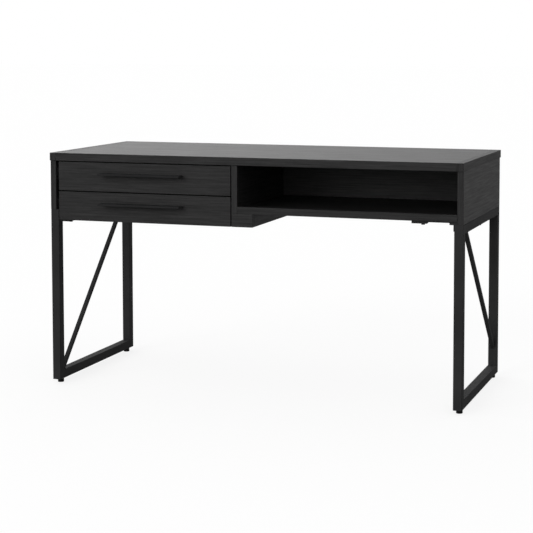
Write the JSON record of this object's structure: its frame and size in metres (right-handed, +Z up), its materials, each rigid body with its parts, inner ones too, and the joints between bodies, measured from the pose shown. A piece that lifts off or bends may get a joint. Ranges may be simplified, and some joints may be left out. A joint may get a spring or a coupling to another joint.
{
  "type": "writing desk",
  "caption": "Black-stained writing desk: drawers at the left under the top, an open compartment beside them, and square tube leg frames with diagonal braces.",
  "frame": {"origin": "on the floor, under the centre of the desk's box from the drawer handles to the rear edge of the top", "axes": "+X to the desk's right as its user sits at it, towards the open compartment; +Y from the drawers to the rear; +Z up"},
  "size_m": [1.35, 0.609, 0.75],
  "materials": {
    "stained_veneer": "black-stained open-grain oak veneer, satin",
    "beech_dowel": "plain turned beech",
    "black_powder_coat": "matt black powder coat",
    "black_steel_bolt": "black oxide",
    "zinc_steel": "zinc plated",
    "drawer_box_board": "black laminated board, matt",
    "black_plastic": "moulded black plastic"
  },
  "bodies": {
    "desk": {"top_panel": "stained_veneer", "top_end_strip_left": "stained_veneer", "top_end_strip_right": "stained_veneer", "side_panel_left": "stained_veneer", "side_panel_right": "stained_veneer", "back_panel": "stained_veneer", "divider": "stained_veneer", "shelf": "stained_veneer", "shelf_front_rail": "stained_veneer", "bank_fascia": "stained_veneer", "bank_outer_side": "stained_veneer", "bank_rear_rail": "stained_veneer", "bank_bottom": "stained_veneer", "carcass_dowels": "beech_dowel", "left_front_leg": "black_powder_coat", "left_rear_leg": "black_powder_coat", "left_top_rail": "black_powder_coat", "left_bottom_rail": "black_powder_coat", "left_brace": "black_powder_coat", "right_front_leg": "black_powder_coat", "right_rear_leg": "black_powder_coat", "right_top_rail": "black_powder_coat", "right_bottom_rail": "black_powder_coat", "right_brace": "black_powder_coat", "left_mounting_plate": "black_powder_coat", "right_mounting_plates": "black_powder_coat", "frame_bolts": "black_steel_bolt", "plate_bolts": "black_steel_bolt", "panel_inserts": "zinc_steel", "foot_nuts": "zinc_steel", "upper_runner_cabinet_members": "zinc_steel", "lower_runner_cabinet_members": "zinc_steel"},
    "upper_drawer": {"upper_drawer_front": "stained_veneer", "upper_drawer_side_left": "drawer_box_board", "upper_drawer_side_right": "drawer_box_board", "upper_drawer_back": "drawer_box_board", "upper_drawer_bottom": "drawer_box_board", "upper_handle": "black_powder_coat", "upper_handle_screws": "zinc_steel", "upper_runner_drawer_members": "zinc_steel"},
    "upper_runner_middle": {"upper_runner_middle_members": "zinc_steel"},
    "lower_drawer": {"lower_drawer_front": "stained_veneer", "lower_drawer_side_left": "drawer_box_board", "lower_drawer_side_right": "drawer_box_board", "lower_drawer_back": "drawer_box_board", "lower_drawer_bottom": "drawer_box_board", "lower_handle": "black_powder_coat", "lower_handle_screws": "zinc_steel", "lower_runner_drawer_members": "zinc_steel"},
    "lower_runner_middle": {"lower_runner_middle_members": "zinc_steel"},
    "foot_left_front": {"foot_pad_left_front": "black_plastic", "foot_stud_left_front": "zinc_steel"},
    "foot_left_rear": {"foot_pad_left_rear": "black_plastic", "foot_stud_left_rear": "zinc_steel"},
    "foot_right_front": {"foot_pad_right_front": "black_plastic", "foot_stud_right_front": "zinc_steel"},
    "foot_right_rear": {"foot_pad_right_rear": "black_plastic", "foot_stud_right_rear": "zinc_steel"}
  },
  "joints": [
    {"name": "upper_drawer_slide", "type": "slide", "parent": "desk", "child": "upper_drawer", "axis": [0, -1, 0], "range_m": [0, 0.38]},
    {"name": "upper_runner_middle_slide", "type": "slide", "parent": "desk", "child": "upper_runner_middle", "axis": [0, -1, 0], "range_m": [0, 0.19]},
    {"name": "lower_drawer_slide", "type": "slide", "parent": "desk", "child": "lower_drawer", "axis": [0, -1, 0], "range_m": [0, 0.38]},
    {"name": "lower_runner_middle_slide", "type": "slide", "parent": "desk", "child": "lower_runner_middle", "axis": [0, -1, 0], "range_m": [0, 0.19]},
    {"name": "foot_left_front_height", "type": "slide", "parent": "desk", "child": "foot_left_front", "axis": [0, 0, 1], "range_m": [-0.01, 0]},
    {"name": "foot_left_rear_height", "type": "slide", "parent": "desk", "child": "foot_left_rear", "axis": [0, 0, 1], "range_m": [-0.01, 0]},
    {"name": "foot_right_front_height", "type": "slide", "parent": "desk", "child": "foot_right_front", "axis": [0, 0, 1], "range_m": [-0.01, 0]},
    {"name": "foot_right_rear_height", "type": "slide", "parent": "desk", "child": "foot_right_rear", "axis": [0, 0, 1], "range_m": [-0.01, 0]}
  ],
  "couplings": [
    {"joint": "upper_runner_middle_slide", "follows": "upper_drawer_slide", "ratio": 0.5},
    {"joint": "lower_runner_middle_slide", "follows": "lower_drawer_slide", "ratio": 0.5}
  ]
}
